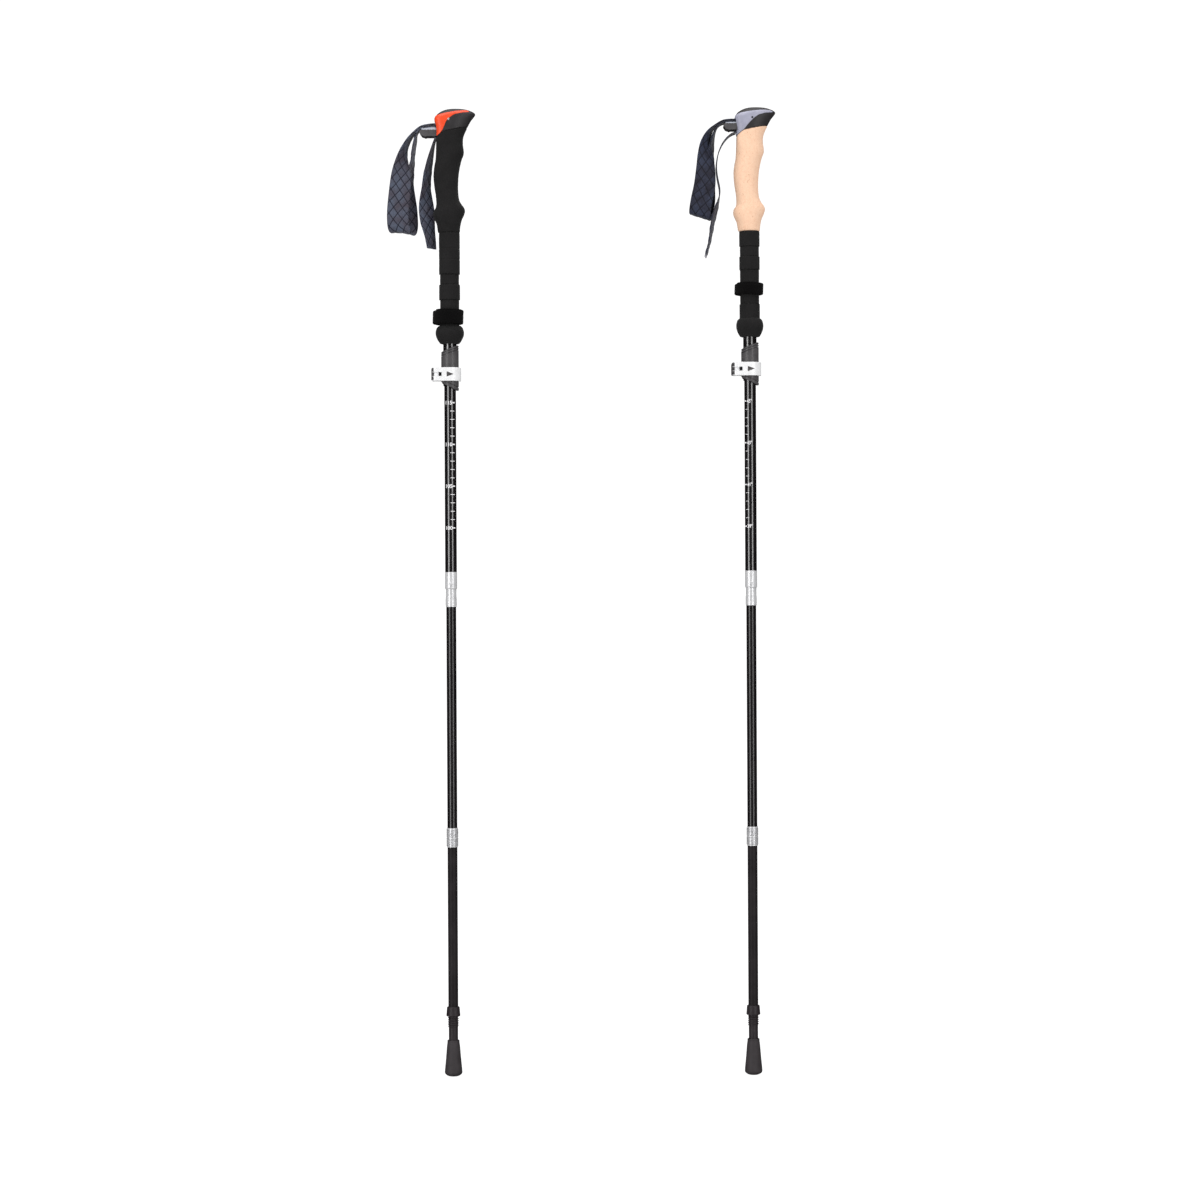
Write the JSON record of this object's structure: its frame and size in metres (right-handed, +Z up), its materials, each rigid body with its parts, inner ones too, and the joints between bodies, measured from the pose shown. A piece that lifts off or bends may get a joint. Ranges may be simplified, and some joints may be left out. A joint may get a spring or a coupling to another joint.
{
  "type": "pair of folding trekking poles",
  "caption": "Pair of folding, length-adjustable walking poles with contoured grips, adjustable wrist straps, lever locks, seamed shanks and rubber feet.",
  "frame": {"origin": "on the ground under the middle of the pair's overall box, the poles standing upright side by side", "axes": "+Z up along the poles, +X the way the grip beaks point and from one pole to the other, -X the wrist-strap side, -Y the side the lock levers lie on"},
  "size_m": [0.4658, 0.0354, 1.1602],
  "materials": {
    "anodised_black": "satin black anodised",
    "foam": "matt closed-cell foam",
    "cork": "natural agglomerated cork",
    "head_plastic": "fine-textured moulded",
    "accent_orange": "satin moulded",
    "accent_lavender": "satin moulded",
    "steel": "zinc-plated",
    "webbing": "woven webbing",
    "hook_and_loop": "brushed loop",
    "lock_plastic": "fine-textured moulded",
    "lever_metal": "satin silver",
    "bright_aluminium": "turned and polished",
    "tension_cord": "braided sheath",
    "tip_plastic": "moulded",
    "carbide": "sintered",
    "foot_rubber": "moulded"
  },
  "bodies": {
    "left_handle": {"left_upper_tube": "anodised_black", "left_hand_grip": "foam", "left_lower_sleeve": "foam", "left_head_core": "head_plastic", "left_head_accent": "accent_orange", "left_strap_pin": "steel", "left_wrist_strap": "webbing", "left_bundling_band": "hook_and_loop", "left_lock_collar": "lock_plastic", "left_lock_bolt": "steel", "left_lever_pin": "steel"},
    "left_wedge": {"left_strap_wedge": "head_plastic"},
    "left_lever": {"left_lock_lever": "lever_metal"},
    "left_middle": {"left_mid_tube": "anodised_black", "left_tube_stop": "lock_plastic", "left_upper_ferrule": "bright_aluminium", "left_tensioner_tube": "bright_aluminium", "left_button_spring": "steel", "left_cord_upper": "tension_cord"},
    "left_button": {"left_snap_button": "steel"},
    "left_upper_shank": {"left_upper_nose_collar": "bright_aluminium", "left_upper_shank_tube": "anodised_black", "left_lower_seat_collar": "bright_aluminium", "left_cord_middle": "tension_cord"},
    "left_lower_shank": {"left_lower_nose_collar": "bright_aluminium", "left_lower_shank_tube": "anodised_black", "left_tip_ferrule": "tip_plastic", "left_carbide_tip": "carbide", "left_cord_lower": "tension_cord"},
    "left_foot": {"left_rubber_foot": "foot_rubber"},
    "right_handle": {"right_upper_tube": "anodised_black", "right_hand_grip": "cork", "right_lower_sleeve": "foam", "right_head_core": "head_plastic", "right_head_accent": "accent_lavender", "right_strap_pin": "steel", "right_wrist_strap": "webbing", "right_bundling_band": "hook_and_loop", "right_lock_collar": "lock_plastic", "right_lock_bolt": "steel", "right_lever_pin": "steel"},
    "right_wedge": {"right_strap_wedge": "head_plastic"},
    "right_lever": {"right_lock_lever": "lever_metal"},
    "right_middle": {"right_mid_tube": "anodised_black", "right_tube_stop": "lock_plastic", "right_upper_ferrule": "bright_aluminium", "right_tensioner_tube": "bright_aluminium", "right_button_spring": "steel", "right_cord_upper": "tension_cord"},
    "right_button": {"right_snap_button": "steel"},
    "right_upper_shank": {"right_upper_nose_collar": "bright_aluminium", "right_upper_shank_tube": "anodised_black", "right_lower_seat_collar": "bright_aluminium", "right_cord_middle": "tension_cord"},
    "right_lower_shank": {"right_lower_nose_collar": "bright_aluminium", "right_lower_shank_tube": "anodised_black", "right_tip_ferrule": "tip_plastic", "right_carbide_tip": "carbide", "right_cord_lower": "tension_cord"},
    "right_foot": {"right_rubber_foot": "foot_rubber"}
  },
  "joints": [
    {"name": "left_length_slide", "type": "slide", "parent": "left_handle", "child": "left_middle", "axis": [0, 0, 1], "range_m": [-0.034, 0.166]},
    {"name": "left_lock_lever_hinge", "type": "hinge", "parent": "left_handle", "child": "left_lever", "pos_m": [-0.17485, -0.0085, 0.84155], "axis": [0, 0, -1], "range_deg": [0, 130]},
    {"name": "left_strap_wedge_slide", "type": "slide", "parent": "left_handle", "child": "left_wedge", "axis": [1, 0, 0], "range_m": [0, 0.013]},
    {"name": "left_snap_button_press", "type": "slide", "parent": "left_middle", "child": "left_button", "axis": [0, 1, 0], "range_m": [0, 0.0018], "stiffness_N_per_m": 400, "springref_m": -0.0008, "deforming": ["left_button_spring"]},
    {"name": "left_upper_fold", "type": "hinge", "parent": "left_middle", "child": "left_upper_shank", "pos_m": [-0.15895, 0.014, 0.5744], "axis": [1, 0, 0], "range_deg": [0, 180]},
    {"name": "left_lower_fold", "type": "hinge", "parent": "left_upper_shank", "child": "left_lower_shank", "pos_m": [-0.14895, 0, 0.2863], "axis": [0, -1, 0], "range_deg": [0, 180]},
    {"name": "left_foot_slide", "type": "slide", "parent": "left_lower_shank", "child": "left_foot", "axis": [0, 0, -1], "range_m": [0, 0.05]},
    {"name": "right_length_slide", "type": "slide", "parent": "right_handle", "child": "right_middle", "axis": [0, 0, 1], "range_m": [-0.034, 0.166]},
    {"name": "right_lock_lever_hinge", "type": "hinge", "parent": "right_handle", "child": "right_lever", "pos_m": [0.18515, -0.0085, 0.84615], "axis": [0, 0, -1], "range_deg": [0, 130]},
    {"name": "right_strap_wedge_slide", "type": "slide", "parent": "right_handle", "child": "right_wedge", "axis": [1, 0, 0], "range_m": [0, 0.0086]},
    {"name": "right_snap_button_press", "type": "slide", "parent": "right_middle", "child": "right_button", "axis": [0, 1, 0], "range_m": [0, 0.0018], "stiffness_N_per_m": 400, "springref_m": -0.0008, "deforming": ["right_button_spring"]},
    {"name": "right_upper_fold", "type": "hinge", "parent": "right_middle", "child": "right_upper_shank", "pos_m": [0.20105, 0.014, 0.5744], "axis": [1, 0, 0], "range_deg": [0, 180]},
    {"name": "right_lower_fold", "type": "hinge", "parent": "right_upper_shank", "child": "right_lower_shank", "pos_m": [0.21105, 0, 0.2863], "axis": [0, -1, 0], "range_deg": [0, 180]},
    {"name": "right_foot_slide", "type": "slide", "parent": "right_lower_shank", "child": "right_foot", "axis": [0, 0, -1], "range_m": [0, 0.05]},
    {"name": "right_pole_lift", "type": "slide", "parent": "left_handle", "child": "right_handle", "axis": [0, 0, 1], "range_m": [0, 0.3]}
  ]
}
